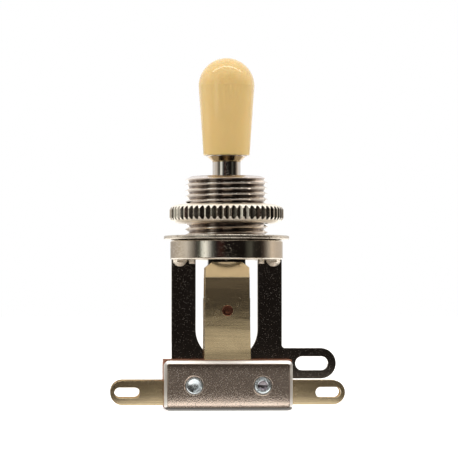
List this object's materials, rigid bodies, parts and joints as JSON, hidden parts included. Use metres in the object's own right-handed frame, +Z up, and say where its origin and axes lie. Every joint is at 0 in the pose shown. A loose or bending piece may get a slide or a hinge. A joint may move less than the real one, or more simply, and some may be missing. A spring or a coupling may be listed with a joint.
{
  "type": "guitar pickup selector switch",
  "caption": "Toggle lever switch with a cream tip, threaded bushing, knurled nut and washer over an open frame of clamped contact leaves and solder lugs.",
  "frame": {"origin": "on the bushing's axis at the flange's top face, where the panel seats", "axes": "+Z up along the lever through the panel, +X to the side of the ground lug, -Y is the front"},
  "size_m": [0.0338, 0.018, 0.0508],
  "materials": {
    "actuator_cam": "black phenolic",
    "bushing_housing": "nickel plated brass",
    "clamp_plate_front": "nickel plated",
    "clamp_plate_rear": "nickel plated",
    "clamp_screw_left": "bright zinc",
    "clamp_screw_right": "bright zinc",
    "cover_insulator_front": "vulcanised fibre",
    "cover_insulator_rear": "vulcanised fibre",
    "flat_washer": "nickel plated",
    "frame": "nickel plated stamping",
    "frame_insulator_front": "vulcanised fibre",
    "frame_insulator_rear": "vulcanised fibre",
    "gap_insulator_front": "vulcanised fibre",
    "gap_insulator_rear": "vulcanised fibre",
    "inner_contact_front": "copper alloy rivet",
    "inner_contact_rear": "copper alloy rivet",
    "inner_leaf_front": "rolled nickel silver",
    "inner_leaf_rear": "rolled nickel silver",
    "insulating_sleeve_left": "plain",
    "insulating_sleeve_right": "plain",
    "knurled_nut": "nickel plated",
    "lever": "turned and chromed",
    "outer_contact_front": "copper alloy rivet",
    "outer_contact_rear": "copper alloy rivet",
    "outer_leaf_front": "rolled nickel silver",
    "outer_leaf_rear": "rolled nickel silver",
    "pivot_pin": "ground steel",
    "switch_tip": "glossy cream moulding"
  },
  "bodies": {
    "switch_frame": {"bushing_housing": "bushing_housing", "flat_washer": "flat_washer", "frame": "frame", "clamp_plate_front": "clamp_plate_front", "clamp_plate_rear": "clamp_plate_rear", "clamp_screw_left": "clamp_screw_left", "clamp_screw_right": "clamp_screw_right", "insulating_sleeve_left": "insulating_sleeve_left", "insulating_sleeve_right": "insulating_sleeve_right", "outer_leaf_front": "outer_leaf_front", "inner_leaf_front": "inner_leaf_front", "outer_contact_front": "outer_contact_front", "inner_contact_front": "inner_contact_front", "frame_insulator_front": "frame_insulator_front", "gap_insulator_front": "gap_insulator_front", "cover_insulator_front": "cover_insulator_front", "outer_leaf_rear": "outer_leaf_rear", "inner_leaf_rear": "inner_leaf_rear", "outer_contact_rear": "outer_contact_rear", "inner_contact_rear": "inner_contact_rear", "frame_insulator_rear": "frame_insulator_rear", "gap_insulator_rear": "gap_insulator_rear", "cover_insulator_rear": "cover_insulator_rear"},
    "lever_assembly": {"switch_tip": "switch_tip", "lever": "lever", "pivot_pin": "pivot_pin", "actuator_cam": "actuator_cam"},
    "nut": {"knurled_nut": "knurled_nut"}
  },
  "joints": [
    {"name": "lever_tilt", "type": "hinge", "parent": "switch_frame", "child": "lever_assembly", "pos_m": [0, 0, -0.0014], "axis": [1, 0, 0], "range_deg": [-12, 12], "deforming": ["outer_leaf_front", "outer_leaf_rear"]},
    {"name": "nut_travel", "type": "slide", "parent": "switch_frame", "child": "nut", "axis": [0, 0, 1], "range_m": [-0.0017, 0.004]}
  ]
}
